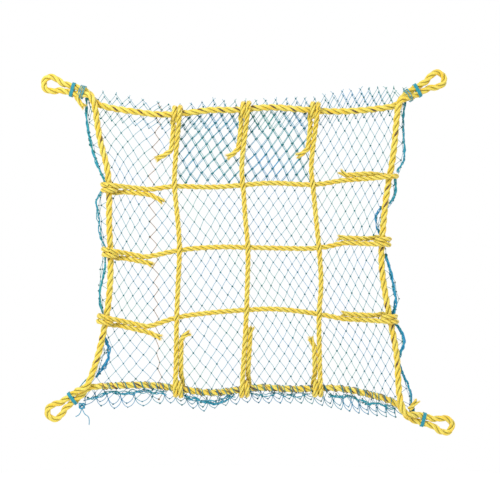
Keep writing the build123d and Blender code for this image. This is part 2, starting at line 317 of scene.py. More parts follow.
def rope_material():
    """Film-yarn polypropylene rope: glossy yellow yarns, gold patches, random blotches of painted olive
    shade, and painted olive shade between strands.
    """
    rope = Shading("yellow_rope")
    fibre = rope.attribute("fibre", "Vector")
    streaks = rope.noise(fibre, (1, 1, 1), 4.5, 4)
    patches = rope.noise(fibre, (0.5, 0.5, 3), 1.0, 2)
    painted_shade_blotches = rope.noise(fibre, (1, 1, 5), 2.5, 3)
    lemon = rope.ramp(streaks, (0.3, (0.62, 0.46, 0.02)), (0.7, (0.93, 0.77, 0.15)))
    gold = rope.ramp(streaks, (0.3, (0.68, 0.42, 0.01)), (0.7, (0.93, 0.65, 0.05)))
    colour = rope.mix("MIX", rope.ramp(patches, (0.48, 0), (0.62, 1)), lemon, gold)
    # painted shade: random blotches are mixed towards the olive colour of the rope's shade
    colour = rope.mix("MIX", rope.ramp(painted_shade_blotches, (0.55, 0), (0.75, 0.55)), colour, (0.48, 0.42, 0.03))
    # painted shade: the colour turns dark olive in the grooves between strands, where the strands shade one
    # another
    colour = rope.mix("MIX", rope.attribute("groove"), colour, (0.30, 0.27, 0.02))
    gloss = rope.ramp(streaks, (0.3, 0.5), (0.7, 0.34))
    normal = rope.bump(rope.yarn_wave(fibre, 9), 0.00035, 0.7)
    normal = rope.bump(streaks, 0.0004, 0.6, normal)
    sheen = {"Sheen_Weight": 0.15, "Sheen_Roughness": 0.4}
    return rope.finish(Base_Color=colour, Roughness=gloss, Normal=normal, **sheen)


def twine_material(name, light, deep, dark):
    """Twisted twine, from light to deep by its hue, and darker in its knots."""
    twine = Shading(name)
    fibre = twine.attribute("fibre", "Vector")
    streaks = twine.noise(fibre, (1, 1, 1), 3.0, 3)
    colour = twine.mix("MIX", twine.attribute("hue"), light, deep)
    colour = twine.mix("MIX", twine.attribute("knot"), colour, dark)
    colour = twine.mix("MULTIPLY", 1.0, colour, twine.ramp(streaks, (0.3, 0.55), (0.7, 1.25)))
    normal = twine.bump(twine.yarn_wave(fibre, 2), 0.0001, 0.8)
    return twine.finish(Base_Color=colour, Roughness=0.6, Sheen_Weight=0.1, Normal=normal)


ROPE = rope_material()
NETTING = twine_material("netting_twine", (0.02, 0.34, 0.32), (0.0, 0.27, 0.56), (0.005, 0.16, 0.17))
SEAM = twine_material("seam_twine", (0.34, 0.22, 0.13), (0.22, 0.13, 0.07), (0.10, 0.055, 0.02))


# ---------------- camera, light and floor
CAMERA_FAR = 2.5
FRAME_WIDTH = 0.9  # what the picture takes in, at the net
FRAME_MIDDLE = (0.0054, 0.0, -0.0036)  # from the net's middle, in metres
SENSOR = 36.0
LIGHTS = (("key", 1.0, 45, (-1.3, -1.7, 1.5)), ("rim", 1.2, 20, (1.4, 1.5, 1.2)))  # size, power, place
FLOOR_R = 2.6
FLOOR_DROP = 0.8


def make_camera():
    data = bpy.data.cameras.new("camera")
    data.sensor_width = SENSOR
    data.lens = SENSOR * CAMERA_FAR / FRAME_WIDTH
    camera = add_object("camera", data)
    middle = Vector(place((0, 0, 0))) + Vector(FRAME_MIDDLE)
    camera.location = middle + Vector((0, -CAMERA_FAR, 0))
    camera.rotation_euler = (math.pi / 2, 0, 0)
    bpy.context.scene.camera = camera


def make_light(name, size, power, offset):
    data = bpy.data.lights.new(name, "AREA")
    data.shape = "DISK"
    data.size = size
    data.energy = power
    light = add_object(name, data)
    light.location = Vector(place((0, 0, 0))) + Vector(offset)
    light.rotation_euler = (-Vector(offset)).to_track_quat("-Z", "Y").to_euler()


def make_studio():
    world = bpy.data.worlds.new("studio")
    world.use_nodes = True
    background = world.node_tree.nodes["Background"]
    background.inputs["Color"].default_value = (1, 1, 1, 1)
    background.inputs["Strength"].default_value = 1.0
    bpy.context.scene.world = world
    bpy.context.scene.view_settings.view_transform = "Standard"
    for light in LIGHTS:
        make_light(*light)
    mesh = bpy.data.meshes.new("floor")
    angles = np.linspace(0, 2 * math.pi, 64, endpoint=False)
    rim = [(FLOOR_R * math.cos(a), FLOOR_R * math.sin(a), 0) for a in angles]
    mesh.from_pydata(rim, [], [list(range(len(rim)))])
    mesh.materials.append(Shading("studio_floor").finish(Base_Color=(0.9, 0.9, 0.9), Roughness=0.9))
    floor = add_object("floor", mesh)
    floor.location = Vector(place((0, 0, 0))) + Vector((0, 0, -FLOOR_DROP))


make_camera()
make_studio()


# ---------------- laid rope
STRANDS = 3
STRAND_SHARE = 0.475  # a strand's radius over the rope's
HELIX_SHARE = 0.53  # how far a strand's middle is from the rope's, over the rope's radius
LAY = 8.0  # one turn of a strand, over the rope's radius
LONG_FIBRE = 8.0  # how much longer than wide a fibre streak is
FRAY = 9.0  # mm over which a cut end opens
FRAY_OPENS = 0.45  # how much further apart its strands are there
FRAY_UNLAYS = 0.7  # and how far they turn back, in radians
CUT_END = (0.99, 0.93, 0.75)  # a cut strand's last rings, over its radius
SWELL = 0.22  # how much the lay opens where another rope is tucked through it
SWELL_WIDTH = 9.0
UNEVEN_STRAND = 0.03  # how much a strand's radius varies
UNEVEN_LENGTH = 1.9  # and over what length, over the rope's radius
GROOVE_FROM = 1.15  # how far round from a strand's outside the painted shade of its grooves starts, in radians
# how far the painted shade darkens the colour in the grooves
GROOVE_PAINTED_SHADE = 0.8
LOOSE_YARNS = 22
YARN_ROOT = 1.5


class LaidRope:
    """Three-strand rope along a route in mm. A piece of it is cut out by the numbers of its samples."""

    def __init__(self, route, radius, step, phase=0.0, closed=False, sides=12):
        self.line = smooth_line(route, step)
        self.radius = radius
        self.sides = sides
        self.tangents, self.normals = steady_normals(self.line)
        self.across = np.cross(self.tangents, self.normals)
        self.along = lengths(self.line)
        turn = 2 * math.pi * self.along / (LAY * radius)
        if closed:
            gap = self.closing_angle()
            part = 2 * math.pi / STRANDS
            wanted = round((turn[-1] + gap) / part) * part - gap
            turn = turn * wanted / turn[-1]
        self.turn = turn + phase
        self.helix = np.full(len(self.line), HELIX_SHARE * radius)
        self.strand = np.full(len(self.line), STRAND_SHARE * radius)

    def closing_angle(self):
        """How far the first normal is turned from the last, at the point where a closed rope meets itself."""
        x = self.normals[-1] @ self.normals[0]
        y = self.normals[-1] @ self.across[0]
        return math.atan2(y, x)

    def nearest(self, point):
        """The number of the sample nearest to a point in mm."""
        return int(np.argmin(np.linalg.norm(self.line - np.array(point), axis=1)))

    def swell(self, point):
        """Open the lay about a point, where another rope is tucked through it."""
        far = (self.along - self.along[self.nearest(point)]) / SWELL_WIDTH
        self.helix *= 1 + SWELL * np.exp(-(far**2))

    def fray(self):
        """Let the strands part and untwist towards the cut end."""
        near = np.clip(1 - (self.along[-1] - self.along) / FRAY, 0, 1)
        self.helix *= 1 + FRAY_OPENS * near**2
        self.turn = self.turn - FRAY_UNLAYS * near**2

    def strand_line(self, number):
        angle = self.turn + 2 * math.pi * number / STRANDS
        outward = np.cos(angle)[:, None] * self.normals + np.sin(angle)[:, None] * self.across
        return self.line + self.helix[:, None] * outward, outward

    def add_to(self, builder, first=0, last=None, cut=False):
        """Put samples first to last into a mesh. A cut end shows its loose fibres."""
        last = len(self.line) - 1 if last is None else last
        part = slice(first, last + 1)
        round_it = round_angles(self.sides)
        c, s = np.cos(round_it)[None, :, None], np.sin(round_it)[None, :, None]
        for number in range(STRANDS):
            middle, outward = self.strand_line(number)
            tangent = unit(np.gradient(middle, axis=0))
            out = unit(outward - np.sum(outward * tangent, axis=1, keepdims=True) * tangent)
            side = np.cross(tangent, out)
            wave = np.sin(self.along / (UNEVEN_LENGTH * self.radius) + 2.1 * number)
            size = (self.strand * (1 + UNEVEN_STRAND * wave))[part]
            if cut:
                size[-3:] *= CUT_END
            rings = middle[part, None] + size[:, None, None] * (c * out[part, None] + s * side[part, None])
            values = self.values(number, round_it, first, last)
            builder.tube(rings, values)
            for end in (0, -1):
                builder.cap(rings[end], {k: v[end] for k, v in values.items()}, end == -1)
            if cut:
                self.loose_fibres(builder, middle[last], tangent[last], outward[last])

    def values(self, number, round_it, first, last):
        """The fibre coordinates, and the painted shade that deepens into the grooves, for a strand's rings.
        """
        strand = STRAND_SHARE * self.radius
        along = self.along[first:last + 1, None]
        slant = 2 * math.pi * HELIX_SHARE / LAY
        angle = round_it[None, :] + slant * along / strand + 1.7 * number
        length = np.broadcast_to(along / (LONG_FIBRE * strand) + 13.7 * number + self.turn[0], angle.shape)
        fibre = np.stack([np.cos(angle), np.sin(angle), length], axis=-1)
        # painted shade: a ring's points darken towards the grooves, the further round they are from the
        # strand's outside
        away = np.abs((round_it + math.pi) % (2 * math.pi) - math.pi)
        depth = np.clip((away - GROOVE_FROM) / 0.8, 0, 1)
        groove = np.broadcast_to(depth[None, :] * GROOVE_PAINTED_SHADE, angle.shape)
        return {"fibre": fibre, "groove": groove}

    def loose_fibres(self, builder, tip, on, outward):
        """A tuft of yarns at a cut strand."""
        strand = STRAND_SHARE * self.radius
        for _ in range(LOOSE_YARNS):
            start = tip + random.normal(0, 0.45 * strand, 3)
            lean = unit(on + 0.3 * outward + random.normal(0, 0.2, 3))
            length = random.uniform(1.0, 4.0)
            bow = random.normal(0, 0.8, 3)
            share = shares(5)
            line = start - on * YARN_ROOT + lean * share * (length + YARN_ROOT) + bow * share**2
            rings = tube_rings(line, np.linspace(0.4, 0.12, 5), 4, np.array((0.2, 0.9, 0.4)))
            blank = np.zeros(rings.shape[:2])
            fibre = np.stack([blank, blank, blank + random.uniform(0, 50)], axis=-1)
            builder.tube(rings, {"fibre": fibre, "groove": blank})


def shares(count):
    """Even steps from 0 to 1, as a column."""
    return np.linspace(0, 1, count)[:, None]


def tube_rings(line, radius, sides, guide):
    """Rings round a line. guide is a direction that the line never runs along, or one for each point."""
    tangents = unit(np.gradient(line, axis=0))
    across = unit(np.cross(tangents, guide))
    up = np.cross(across, tangents)
    angles = round_angles(sides)
    reach = np.cos(angles)[None, :, None] * up[:, None] + np.sin(angles)[None, :, None] * across[:, None]
    return line[:, None] + np.broadcast_to(radius, len(line))[:, None, None] * reach


# ---------------- bodies
def bend_at_fold(piece):
    """Bake a piece's placement into its mesh. The piece crosses one fold, and it is not bent there."""
    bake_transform(piece)


def strip_nodes(pattern, stretch):
    """The CAD nodes that one stretch of a rope or of netting stands for."""
    strips = JOINED[stretch] if stretch == 0 else JOINED[stretch][1:]
    return [pattern.format(strip) for strip in strips]


def rope_piece(name, rope, nodes, **span):
    builder = Builder()
    rope.add_to(builder, **span)
    piece = builder.build(name, ROPE)
    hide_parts(*nodes)
    return piece


def ridden_rope(body, name, rope, nodes, **span):
    """A piece of rope that moves with one body."""
    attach(rope_piece(name, rope, nodes, **span), body)


def bent_rope(name, rope, pattern, stretch, one, other):
    """A piece of rope between two samples, which crosses the fold between them without bending there."""
    first, last = sorted((one, other))
    piece = rope_piece(name, rope, strip_nodes(pattern, stretch), first=first, last=last)
    bend_at_fold(piece)


# ---------------- border rope
def legs(corner, side, y):
    """The points of one leg of an eye, from the crossing to the throat."""
    twist_y = LEG_MID_Y + math.copysign(LEG_TWIST, y)
    return [
        corner_point(corner, 0, 0, y),
        corner_point(corner, LEG_RUN, side * LEG_TWIST, twist_y),
        corner_point(corner, 2 * LEG_RUN, side * LEG_SIDE, 0),
        corner_point(corner, THROAT, side * LEG_SIDE, 0),
    ]


def eye_half(corner, side):
    """Half of an eye's bight, from the throat to its tip."""
    return [corner_point(corner, THROAT + reach, side * bow, 0) for reach, bow in EYE_BOW]


TOP_MIDDLE = [
    (-271, BACK_LEG_Y, 256), (-200, 0, 245), (-155, 0, 239), (-105, 0, 243), (-62, 0, 249.5),
    (-20, 0, 247.5), (40, 0, 254.5), (90, 0, 250), (150, 0, 245), (205, 0, 247), (270, BACK_LEG_Y, 255),
]
RIGHT_MIDDLE = [
    (270, FRONT_LEG_Y, 252), (268, -4, 222), (265.5, 0, 185), (260.5, 0, 148), (251, 0, 98), (246, 0, 50),
    (240.5, 0, -18), (246.5, 0, -70), (257.5, 0, -130), (270, 0, -190), (271.5, -5, -236),
    (273, FRONT_LEG_Y, -272),
]
BOTTOM_MIDDLE = [
    (271, BACK_LEG_Y, -278), (215, 0, -261.5), (165, 0, -251.5), (120, 0, -252.5), (75, 0, -254.5),
    (30, 0, -250), (-15, 0, -255), (-62, 0, -262), (-110, 0, -255.5), (-160, 0, -247.5), (-200, 0, -246),
    (-240, 0, -248),
]
LEFT_MIDDLE = [
    (-277, -5, -224), (-265.5, 0, -185), (-252.5, 0, -125), (-246, 0, -70), (-245.5, 0, -10),
    (-248.5, 0, 50), (-247.5, 0, 100), (-251.5, 0, 148), (-262.5, 0, 184), (-269.5, -4, 224),
    (-272, FRONT_LEG_Y, 254),
]


RUNS = (  # the border rope's four runs, clockwise: the eye that each starts at, its depth there, its points
    ("top_left", BACK_LEG_Y, TOP_MIDDLE),
    ("top_right", FRONT_LEG_Y, RIGHT_MIDDLE),
    ("bottom_right", BACK_LEG_Y, BOTTOM_MIDDLE),
    ("bottom_left", FRONT_LEG_Y, LEFT_MIDDLE),
)


def border_route():
    """The whole border rope, clockwise from the tip of the top left eye and back to it."""
    tip = corner_point("top_left", THROAT + EYE_TIP, 0, 0)
    route = [tip]
    for (corner, y, middle), (after, *_) in zip(RUNS, RUNS[1:] + RUNS[:1]):
        route += eye_half(corner, -1)[::-1] + legs(corner, -1, y)[::-1]
        route += middle + legs(after, 1, y) + eye_half(after, 1)
    return route + [tip]


SIDE_TOP = 226.0  # height where a side of the border rope passes from the top piece to its own
LEG_CUT = THROAT - 14.0  # and how far out along the legs it passes to a bottom eye


def make_border():
    rope = LaidRope(border_route(), BORDER_R, 1.8, closed=True, sides=14)
    right_top = rope.nearest((267, -4, SIDE_TOP))
    left_top = rope.nearest((-270, -4, SIDE_TOP))
    ridden_rope("head", "border_rope_top", rope, ["top_border_rope", "top_right_eye"], last=right_top)
    ridden_rope("head", "border_rope_top_left", rope, ["top_left_eye"], first=left_top)
    sides = {
        "right": ([right_top], RIGHT_MIDDLE, "bottom_right", 1),
        "left": ([left_top], LEFT_MIDDLE, "bottom_left", -1),
    }
    leg_cuts = {}
    for side, (cuts, middle, corner, leg) in sides.items():
        heights = sorted((z, x) for x, _, z in middle)
        for height in CUTS:
            x = np.interp(height, [z for z, _ in heights], [x for _, x in heights])
            cuts.append(rope.nearest((x, 0, height)))
        near, far = (rope.nearest(corner_point(corner, LEG_CUT, s * LEG_SIDE, 0)) for s in (leg, -leg))
        cuts.append(near)
        leg_cuts[corner] = (near, far)
        for stretch, (one, other) in enumerate(zip(cuts, cuts[1:])):
            name = f"{side}_border_{STRETCHES[stretch]}"
            bent_rope(name, rope, side + "_border_rope_{}", stretch, one, other)
    for corner, ends in leg_cuts.items():
        piece = rope_piece(f"{corner}_eye_rope", rope, [f"{corner}_eye"], first=min(ends), last=max(ends))
        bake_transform(piece)
    span = {"first": leg_cuts["bottom_right"][1], "last": leg_cuts["bottom_left"][1]}
    ridden_rope("foot", "border_rope_bottom", rope, ["bottom_border_rope"], **span)
    return rope


def make_stubs():
    stubs = {
        "top_left_rope_stub": ("top_left", (24.0, 10.0, -5.0), (6.0, 24.0, -7.0), "head"),
        "bottom_right_rope_stub": ("bottom_right", (4.0, 12.0, -8.0), (13.0, 30.0, -8.0), "foot"),
    }
    for node, (corner, start, end, body) in stubs.items():
        middle = tuple((a + b) / 2 + bow for a, b, bow in zip(start, end, (2.0, 1.5, -0.5)))
        route = [corner_point(corner, *point) for point in (start, middle, end)]
        rope = LaidRope(route, STUB_R, 1.2)
        rope.fray()
        ridden_rope(body, f"{node}_end", rope, [node], cut=True)


# ---------------- grid ropes
# A grid rope's end is its point on the border rope, and what its doubled part does there: the side that it
# lies on, its length, and the lean of its cut tail.
UPRIGHTS = {  # top, x at the folds, crossings, foot, and both doubled ends
    "left_upright": (
        (-121, 241.5), (-130, -124.5, -124.5), ((-131, 112.5), (-120.5, -2.5), (-126.5, -124)),
        (-128.5, -253), (1, 70, (15, 24)), (1, 92, (9, 13)),
    ),
    "middle_upright": (
        (2, 249.5), (-10.5, -3, 0.5), ((-7, 113.5), (2.5, 1), (-0.5, -111.5)),
        (-9, -254), (1, 76, (14, 16)), (1, 104, (7, 1)),
    ),
    "right_upright": (
        (127, 247.5), (114.5, 124.5, 134.5), ((118.5, 112.5), (130, -1.5), (128.5, -118.5)),
        (132, -252.5), (1, 74, (12, 16)), (-1, 78, (12, 7)),
    ),
}
CROSS_ROPES = {  # left end and dip, points between the crossings, right dip and end, both doubled ends
    "upper_cross_rope": (
        (-248, 113), (-172, 105), ((-65, 108.5), (45, 118)), (170, 121.5), (257, 128),
        (1, 77, (22, 10)), (1, 80, (8, 6)),
    ),
    "middle_cross_rope": (
        (-246.5, -4), (-180, -17), ((-50, 2.5), (60, -0.5)), (174, 9.5), (243.5, 6.5),
        (1, 72, (7, 2)), (1, 68, (10, -0.5)),
    ),
    "lower_cross_rope": (
        (-254.5, -124.5), (-183, -141), ((-65, -116), (52, -108.5)), (172, -127.5), (257.5, -132),
        (1, 84, (20, 5)), (1, 78, (8, 1)),
    ),
}
SECOND_TURN = (  # out, along the border rope over BESIDE, and back over WRAP
    (-WRAP, 0.4, 1), (-WRAP, 1.0, -1), (WRAP, 1.05, -1), (WRAP, 1.2, 1), (-TURN, 1.45, 1),
)
CLEAR_OF_FOLD = 40.0  # a second turn would reach a fold nearer than this
INNER_STEP = 1.25


def outward_at(border, inner):
    """A border point in mm, and the direction from the net's inside out to it."""
    b = np.array((border[0], 0, border[1]))
    return b, unit(b - np.array((inner[0], 0, inner[1])))


def standing_end(border, inner, leg=None):
    """Where a grid rope comes up to the border rope and passes in front of it. With a leg, it keeps straight
    beside its own doubled end."""
    b, out = outward_at(border, inner)
    front = np.array((0, WRAP, 0))
    end = [b - out * LEAVE, b - out * TURN - front, b - front]
    if leg:
        bend = max(math.dist(border, inner), leg[1] - STRAIGHTEN / 3)
        end = [b - out * bend, b - out * (bend - STRAIGHTEN)] + end
    return end


def border_run(x, z):
    """The direction of the border rope's run nearest to a point of the net's plane."""
    runs = [run for _, _, middle in RUNS for run in zip(middle, middle[1:])]
    middles = [((a[0] + b[0]) / 2, (a[2] + b[2]) / 2) for a, b in runs]
    far = [math.dist((x, z), middle) for middle in middles]
    one, other = runs[far.index(min(far))]
    return unit(np.array((other[0] - one[0], 0, other[2] - one[2])))


def make_splice(body, name, border, inner, leg, second_turn=True):
    """A grid rope's end: once or twice round the border rope, back beside its standing part, and cut."""
    side, length, tail = leg
    b, out = outward_at(border, inner)
    across = np.array((-out[2], 0, out[0])) * side
    y = np.array((0, 1, 0))
    route = [b - y * WRAP, b + out * WRAP - y * WRAP, b + out * WRAP + y * WRAP]
    if second_turn:
        run = border_run(*border)
        along = run * math.copysign(BESIDE, run @ across)
        route += [b + out * reach + along * share + y * back * WRAP for reach, share, back in SECOND_TURN]
        route.append(b - out * (TURN + 11) + across * BESIDE * 1.02 + y * WRAP * 0.55)
    else:
        route.append(b - out * TURN + across * BESIDE / 2 + y * WRAP)
    route += [b - out * reach + across * BESIDE for reach in (LEAVE + 2, length - 12, length)]
    route.append(b - out * (length + tail[0]) + across * (BESIDE + tail[1]) - y * TAIL_BACK)
    rope = LaidRope(route, INNER_R, INNER_STEP, phase=length)
    rope.fray()
    ridden_rope(body, f"{name}_rope", rope, [name], cut=True)


def make_uprights():
    for name, (top, folds, crossings, foot, top_leg, foot_leg) in UPRIGHTS.items():
        top_inner = (folds[0], FOLDS[0])
        tucks = [(x, -TUCK, z) for x, z in crossings]
        route = standing_end(top, top_inner)[::-1]
        for x, z, tuck in zip(folds, FOLDS, tucks):
            route += [(x, 0, z), tuck]
        route += standing_end(foot, crossings[2])
        rope = LaidRope(route, INNER_R, INNER_STEP, phase=top[0])
        for tuck in tucks:
            rope.swell(tuck)
        cuts = [0, rope.nearest(tucks[0]), rope.nearest(tucks[1]), len(rope.line) - 1]
        for stretch, (one, other) in enumerate(zip(cuts, cuts[1:])):
            bent_rope(f"{name}_rope_{STRETCHES[stretch]}", rope, name + "_{}", stretch, one, other)
        make_splice("head", f"{name}_top_splice", top, top_inner, top_leg)
        make_splice("foot", f"{name}_foot_splice", foot, crossings[2], foot_leg)


def make_cross_ropes():
    for row, (name, data) in enumerate(CROSS_ROPES.items()):
        left, left_dip, middles, right_dip, right, left_leg, right_leg = data
        body = JOINED[row][1]
        tucks = [(x, TUCK, z) for x, z in (upright[2][row] for upright in UPRIGHTS.values())]
        between = [(x, 0, z) for x, z in middles]
        route = standing_end(left, left_dip, left_leg)[::-1]
        route += [tucks[0], between[0], tucks[1], between[1], tucks[2]]
        route += standing_end(right, right_dip, right_leg)
        rope = LaidRope(route, INNER_R, INNER_STEP, phase=1.3 * row)
        ridden_rope(body, f"{name}_rope", rope, [name])
        make_splice(body, f"{name}_left_splice", left, left_dip, left_leg)
        clear = abs(right[1] - FOLDS[0]) > CLEAR_OF_FOLD
        make_splice(body, f"{name}_right_splice", right, right_dip, right_leg, clear)


border = make_border()
make_stubs()
make_uprights()
make_cross_ropes()

# ---------------- netting
TWINE_R = 0.42
KNOT_SCALE = (0.95, 1.35)
KNOT_SIDES = 4
NET_Y = 8.3
NET_ROWS = 40
LEFT_COLUMNS = 11
RIGHT_COLUMNS = 50
CROWDING = 0.14  # how much narrower the meshes get towards the sides
UNEVEN = 0.45  # how far knots stray in the net's plane, and from front to back
UNEVEN_DEPTH = 0.35
DRIFTS = ((2.2, 300.0), (1.2, 170.0), (0.5, 90.0))  # size and wavelength
RIM_OUT = 13.0  # the meshes are even as far as this outside the border rope, before they are gathered
GATHERED = 0.3  # how much of their width is left outside it
SEAM_R = 0.6
LOOP_R = 0.62
LOOP_BOW = 0.28
EDGE_LAYERS = ((2.0, 1.1, -7.5),)  # twine bunched over the lowest and the topmost rows
EDGE_R = 0.5
EDGE_ROWS = (3, 4)
DOUBLED_X = (-128.0, 118.0)  # netting is folded over behind the middle of the top row
DOUBLED_Z = (112.0, 256.0)
DOUBLED_LAYERS = ((1.3, 1.3, 1.9), (-1.5, 2.3, 0.9))
TOP_EDGE = [
    (-292, 286), (-262, 284), (-235, 279), (-190, 268), (-160, 262), (-130, 257), (-95, 263), (-60, 270),
    (-20, 266), (40, 265), (80, 269), (120, 268), (165, 279), (200, 284), (250, 289), (284, 290),
]
BOTTOM_EDGE = [
    (-297, -277), (-270, -276), (-240, -280), (-200, -277), (-160, -272), (-120, -276), (-80, -285),
    (-40, -276), (0, -270), (60, -272), (110, -272), (150, -282), (200, -293), (250, -300), (275, -300),
    (298, -296),
]
LEFT_EDGE = [
    (-297, -277), (-290, -255), (-266, -228), (-251, -200), (-250, -172), (-254, -140), (-262, -105),
    (-271, -75), (-268, -40), (-258, -4), (-264, 20), (-270, 60), (-268, 95), (-256, 112), (-266, 135),
    (-276, 165), (-285, 190), (-290, 215), (-287, 240), (-284, 262), (-292, 286),
]
RIGHT_EDGE = [
    (298, -296), (300, -275), (292, -250), (281, -225), (271, -205), (273, -190), (287, -175), (284, -155),
    (268, -135), (262, -122), (268, -112), (279, -92), (275, -70), (262, -40), (252, -13), (240, 20),
    (235, 40), (238, 60), (260, 77), (268, 95), (270, 120), (280, 142), (284, 170), (284, 200), (281, 240),
    (284, 290),
]
SEAM_LINE = [
    (-160, -272), (-164, -212), (-169, -102), (-173, 28), (-180, 124), (-167, 202), (-160, 262),
]


def on_upright_line(line, share):
    """Points of a line that climbs from the bottom edge to the top edge, at shares of its height."""
    line = np.array(line)
    z = line[0, 1] + (line[-1, 1] - line[0, 1]) * share
    return np.stack([np.interp(z, line[:, 1], line[:, 0]), z], axis=-1)


def on_level_line(line, first, last, share):
    """Points of the top or bottom edge between two values of x, at shares of the way."""
    line = np.array(line)
    x = first + (last - first) * share
    return np.stack([x, np.interp(x, line[:, 0], line[:, 1])], axis=-1)


def knot_places(left, right, columns, crowding):
    """The knots' x and z over a stretch of netting between two upright lines, by column and row."""
    v = np.linspace(0, 1, NET_ROWS + 1)
    u = np.linspace(0, 1, columns + 1)
    u = u + crowding * u * (1 - u)
    start, end = on_upright_line(left, v), on_upright_line(right, v)
    low = on_level_line(BOTTOM_EDGE, start[0, 0], end[0, 0], u)
    high = on_level_line(TOP_EDGE, start[-1, 0], end[-1, 0], u)
    u, v = u[:, None, None], v[None, :, None]
    between_sides = (1 - u) * start[None] + u * end[None]
    between_edges = (1 - v) * low[:, None] + v * high[:, None]
    corners = (1 - u) * (1 - v) * start[0] + u * (1 - v) * end[0] + (1 - u) * v * start[-1] + u * v * end[-1]
    return between_sides + between_edges - corners


def wander(points):
    """A slow, uneven drift of the netting, in mm."""
    drift = np.zeros_like(points)
    for size, wavelength in DRIFTS:
        for axis in range(2):
            heading = random.uniform(0, math.pi)
            along = points[..., 0] * math.cos(heading) + points[..., 1] * math.sin(heading)
            drift[..., axis] += size * np.sin(2 * math.pi * along / wavelength + random.uniform(0, 6))
    return drift


def knot_template():
    """One small knot of twine, as a closed three-lobed turn."""
    t = np.linspace(0, 2 * math.pi, 18, endpoint=False)
    t = np.concatenate([t[-1:], t, t[:1]])
    ring, lobe = 0.72, 0.42
    round_ring = np.stack([np.cos(2 * t), np.zeros_like(t), np.sin(2 * t)], axis=-1)
    lift = np.stack([np.zeros_like(t), lobe * np.sin(3 * t), np.zeros_like(t)], axis=-1)
    line = round_ring * (ring + lobe * np.cos(3 * t))[:, None] + lift
    return tube_rings(line, TWINE_R, KNOT_SIDES, unit(line - round_ring * ring))[1:-1]


KNOT = knot_template()


def random_turn():
    """A turn by any angle about y, with a slight tilt."""
    a, b = random.uniform(0, 2 * math.pi), random.normal(0, 0.3)
    about_y = np.array(((math.cos(a), 0, math.sin(a)), (0, 1, 0), (-math.sin(a), 0, math.cos(a))))
    about_x = np.array(((1, 0, 0), (0, math.cos(b), -math.sin(b)), (0, math.sin(b), math.cos(b))))
    return about_y @ about_x


def hue_at(x, z):
    """From 0, teal, to 1, blue: the twine's colour drifts over the netting."""
    slow = 0.5 + 0.3 * math.sin(x / 41.0 + 1.1) * math.sin(z / 57.0) + 0.25 * math.sin((x + z) / 23.0)
    return float(np.clip(slow + random.normal(0, 0.12), 0, 1))


def twine_values(angle, length, hue, knot):
    """Where the fibres of twine's rings run, its hue, and how far it is in a knot."""
    fibre = np.stack([np.cos(angle), np.sin(angle), np.broadcast_to(length, angle.shape)], axis=-1)
    return {"fibre": fibre, "hue": np.full(angle.shape, hue), "knot": np.full(angle.shape, knot)}


class Twine:
    """Twine sorted into one mesh for each stretch between the cuts."""

    def __init__(self):
        self.builders = [Builder() for _ in STRETCHES]

    def builder_at(self, z):
        return self.builders[0 if z > CUTS[0] else 1 if z > CUTS[1] else 2]

    def thread(self, line, radius=TWINE_R, hue=0.3, knot=0.0, sides=5, guide=(0.05, 1.0, 0.08)):
        """A thread along points in mm, cut where it passes a cut height."""
        line = np.asarray(line, float)
        if guide is None:
            guide = steady_normals(line)[1]
        rings = tube_rings(line, radius, sides, np.asarray(guide))
        along = lengths(line)
        angle = round_angles(sides) + random.uniform(0, 6) + along[:, None] / 1.5
        values = twine_values(angle, along[:, None] / 3.0 + 17 * random.uniform(), hue, knot)
        mids = (line[1:, 2] + line[:-1, 2]) / 2
        zones = np.where(mids > CUTS[0], 0, np.where(mids > CUTS[1], 1, 2))
        breaks = [0, *(np.flatnonzero(np.diff(zones)) + 1), len(zones)]
        for first, last in zip(breaks, breaks[1:]):
            builder = self.builders[zones[first]]
            builder.tube(rings[first:last + 1], {k: v[first:last + 1] for k, v in values.items()})

    def knot(self, point, scale, hue):
        turned = KNOT @ random_turn().T * scale * random.uniform(*KNOT_SCALE) + np.asarray(point)
        angle = np.broadcast_to(round_angles(KNOT_SIDES), turned.shape[:2])
        values = twine_values(angle, np.arange(len(turned))[:, None] / 4.0, hue, random.uniform(0.6, 1.0))
        self.builder_at(point[2]).tube(turned, values, loop=True)

    def bar(self, start, end, hue, radius=TWINE_R):
        """The twine between two knots, bowed a little."""
        share = shares(5)
        bow = random.normal(0, 0.4, 3) * (1, 0.5, 1)
        self.thread(start + (end - start) * share + 4 * share * (1 - share) * bow, radius, hue)

    def build(self, name, material, slot, nodes=None):
        """One piece for each stretch that has twine. name and nodes are patterns."""
        for stretch, builder in enumerate(self.builders):
            if not builder.points:
                continue
            piece = builder.build(name.format(STRETCHES[stretch]), material)
            if nodes:
                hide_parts(*strip_nodes(nodes, stretch))
            bend_at_fold(piece)


def make_mesh(twine, seam, at, first_column, brown, chosen, radius=TWINE_R):
    """Knots and bars over a lattice of points. A knot is where column and row add up to an even number, and
    only the chosen ones are made."""
    columns, rows = at.shape[:2]
    for i, j in np.argwhere(chosen):
        if (i + first_column + j) % 2:
            continue
        here = at[i, j]
        hue = hue_at(here[0], here[2])
        in_seam = brown and i == 0
        (seam if in_seam else twine).knot(here, 1.15 if in_seam else 1.0, hue)
        if j == rows - 1:
            cut_ends(twine, here, hue)
        for step in (-1, 1):
            if not 0 <= i + step < columns or j + 1 >= rows or not chosen[i + step, j + 1]:
                continue
            if brown and i + min(step, 0) == 0:
                seam.bar(here, at[i + step, j + 1], hue, SEAM_R)
            elif j == 0:
                hanging_bar(twine, here, at[i + step, 1], hue)
            else:
                twine.bar(here, at[i + step, j + 1], hue, radius)


def cut_ends(twine, knot, hue):
    """The two ends that are left standing where the next mesh was cut off."""
    for side in (-1, 1):
        length = random.uniform(2.0, 6.0)
        lean = np.array((side * random.uniform(0.2, 1.0), random.normal(0, 0.3), 1.0))
        share = shares(4)
        curl = random.normal(0, 1.2, 3) * (1, 0.5, 0.5)
        twine.thread(knot + share * length * unit(lean) + share**2 * curl, hue=hue)


